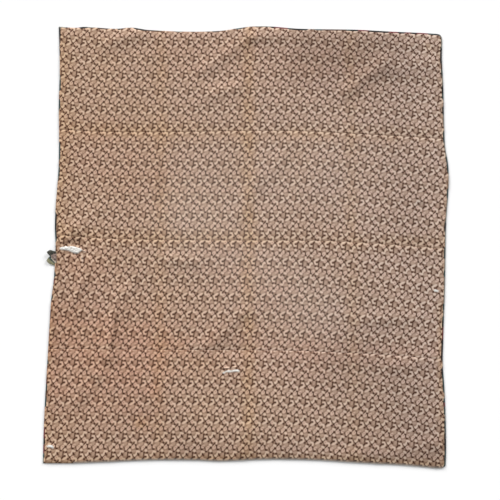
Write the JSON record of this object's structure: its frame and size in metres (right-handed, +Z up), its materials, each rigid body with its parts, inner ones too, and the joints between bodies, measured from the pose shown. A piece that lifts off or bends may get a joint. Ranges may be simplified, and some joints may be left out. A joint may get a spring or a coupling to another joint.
{
  "type": "quilt",
  "caption": "Old pieced quilt lying flat with its printed back up: four seamed widths, a dark rim of the face, old creases, tears showing white filling and a torn scrap.",
  "frame": {"origin": "on the surface that the quilt lies on, under the middle of its outline", "axes": "+Z up, through the thickness; +Y towards the top edge in the picture, the longest extent; +X towards its right edge"},
  "size_m": [2.0132, 2.2228, 0.0159],
  "materials": {
    "printed_back": "washed plain-weave cotton, tan with a small dark-brown print",
    "pieced_face": "worn cotton and wool patches in black, dark teal, brown and burgundy",
    "white_filling": "loose matt cotton filling",
    "scrap_cloth": "frayed patches in black, olive and faded pink"
  },
  "bodies": {
    "root": {"quilt_body": "pieced_face", "back_width_1": "printed_back", "back_width_2": "printed_back", "back_width_3": "printed_back", "back_width_4": "printed_back", "filling_tuft_1": "white_filling", "filling_tuft_2": "white_filling", "filling_tuft_3": "white_filling", "filling_tuft_4": "white_filling", "torn_scrap": "scrap_cloth"}
  },
  "joints": []
}
